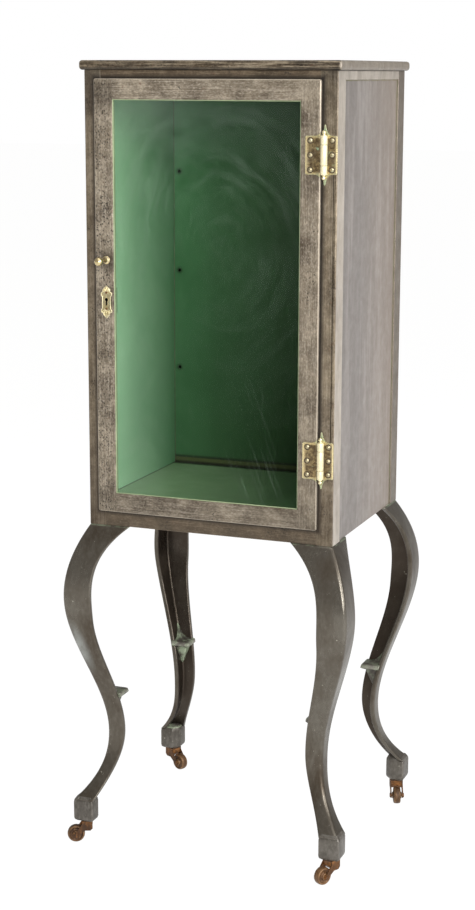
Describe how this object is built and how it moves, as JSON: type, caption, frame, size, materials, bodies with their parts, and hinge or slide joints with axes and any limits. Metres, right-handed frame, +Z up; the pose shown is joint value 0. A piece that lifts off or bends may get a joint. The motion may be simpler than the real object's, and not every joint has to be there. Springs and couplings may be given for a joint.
{
  "type": "instrument cabinet",
  "caption": "Tall glazed steel instrument cabinet with a hinged door, ball knob latch and key lock, on slender cabriole legs with swivel casters.",
  "frame": {"origin": "on the floor under the middle of the cabinet body", "axes": "+Z up, door on the -Y side, door hinges on the +X side"},
  "size_m": [0.5319, 0.4617, 1.396],
  "materials": {
    "frame_steel": "dark patinated bare steel, worn",
    "side_steel": "streaky grey bare steel",
    "interior_paint": "old jade green paint",
    "door_steel": "brushed bare steel with pitting",
    "glass": "clear sheet, hazy",
    "bead_paint": "pale green paint",
    "brass": "tarnished brass",
    "hardware_steel": "dull nickel or steel",
    "cast_iron": "graphite grey, chipped",
    "caster_iron": "rusty brown",
    "wheel_iron": "worn rusty iron tread"
  },
  "bodies": {
    "cabinet": {"top_board": "frame_steel", "front_left_post": "frame_steel", "front_right_post": "frame_steel", "rear_left_post": "frame_steel", "rear_right_post": "frame_steel", "front_top_rail": "frame_steel", "front_bottom_rail": "frame_steel", "left_side_top_rail": "frame_steel", "right_side_top_rail": "frame_steel", "left_side_panel": "side_steel", "right_side_panel": "side_steel", "back_panel": "interior_paint", "cabinet_floor": "interior_paint", "left_jamb": "interior_paint", "right_jamb": "interior_paint", "rear_bottom_rail": "interior_paint", "base_sheet": "interior_paint", "upper_hinge_post_leaf": "brass", "lower_hinge_post_leaf": "brass", "upper_hinge_pin": "brass", "lower_hinge_pin": "brass", "hinge_post_screws": "hardware_steel", "leg_bolts": "hardware_steel", "leg_nuts": "hardware_steel", "front_left_leg": "cast_iron", "front_right_leg": "cast_iron", "rear_left_leg": "cast_iron", "rear_right_leg": "cast_iron", "caster_sockets": "caster_iron"},
    "door": {"door_left_stile": "door_steel", "door_right_stile": "door_steel", "door_top_rail": "door_steel", "door_bottom_rail": "door_steel", "door_glass": "glass", "glazing_beads": "bead_paint", "lock_case": "hardware_steel", "key_plate": "brass", "key_plate_pins": "brass", "knob_rose": "brass", "upper_hinge_door_leaf": "brass", "lower_hinge_door_leaf": "brass", "hinge_door_screws": "hardware_steel"},
    "knob": {"door_knob": "brass", "latch_tongue": "hardware_steel", "latch_nut": "hardware_steel"},
    "bolt": {"lock_bolt": "hardware_steel"},
    "front_left_caster": {"front_left_caster_yoke": "caster_iron", "front_left_caster_axle": "caster_iron"},
    "front_left_wheel": {"front_left_caster_wheel": "wheel_iron"},
    "front_right_caster": {"front_right_caster_yoke": "caster_iron", "front_right_caster_axle": "caster_iron"},
    "front_right_wheel": {"front_right_caster_wheel": "wheel_iron"},
    "rear_left_caster": {"rear_left_caster_yoke": "caster_iron", "rear_left_caster_axle": "caster_iron"},
    "rear_left_wheel": {"rear_left_caster_wheel": "wheel_iron"},
    "rear_right_caster": {"rear_right_caster_yoke": "caster_iron", "rear_right_caster_axle": "caster_iron"},
    "rear_right_wheel": {"rear_right_caster_wheel": "wheel_iron"}
  },
  "joints": [
    {"name": "door_hinge", "type": "hinge", "parent": "cabinet", "child": "door", "pos_m": [0.20355, -0.19615, 0.99425], "axis": [0, 0, 1], "range_deg": [0, 165]},
    {"name": "knob_turn", "type": "hinge", "parent": "door", "child": "knob", "pos_m": [-0.1845, -0.1965, 1.06275], "axis": [0, -1, 0], "range_deg": [0, 90]},
    {"name": "bolt_slide", "type": "slide", "parent": "door", "child": "bolt", "axis": [-1, 0, 0], "range_m": [0, 0.009]},
    {"name": "front_left_swivel", "type": "hinge", "parent": "cabinet", "child": "front_left_caster", "pos_m": [-0.234, -0.199, 0.04], "axis": [0, 0, 1], "continuous": true},
    {"name": "front_left_roll", "type": "hinge", "parent": "front_left_caster", "child": "front_left_wheel", "pos_m": [-0.25303, -0.20788, 0.01588], "axis": [0.4226, -0.9063, 0], "continuous": true},
    {"name": "front_right_swivel", "type": "hinge", "parent": "cabinet", "child": "front_right_caster", "pos_m": [0.234, -0.199, 0.04], "axis": [0, 0, 1], "continuous": true},
    {"name": "front_right_roll", "type": "hinge", "parent": "front_right_caster", "child": "front_right_wheel", "pos_m": [0.22382, -0.21737, 0.01588], "axis": [0.8746, -0.4848, 0], "continuous": true},
    {"name": "rear_left_swivel", "type": "hinge", "parent": "cabinet", "child": "rear_left_caster", "pos_m": [-0.234, 0.199, 0.04], "axis": [0, 0, 1], "continuous": true},
    {"name": "rear_left_roll", "type": "hinge", "parent": "rear_left_caster", "child": "rear_left_wheel", "pos_m": [-0.21497, 0.19012, 0.01588], "axis": [0.4226, 0.9063, 0], "continuous": true},
    {"name": "rear_right_swivel", "type": "hinge", "parent": "cabinet", "child": "rear_right_caster", "pos_m": [0.234, 0.199, 0.04], "axis": [0, 0, 1], "continuous": true},
    {"name": "rear_right_roll", "type": "hinge", "parent": "rear_right_caster", "child": "rear_right_wheel", "pos_m": [0.24153, 0.17939, 0.01588], "axis": [0.9336, 0.3584, 0], "continuous": true}
  ]
}
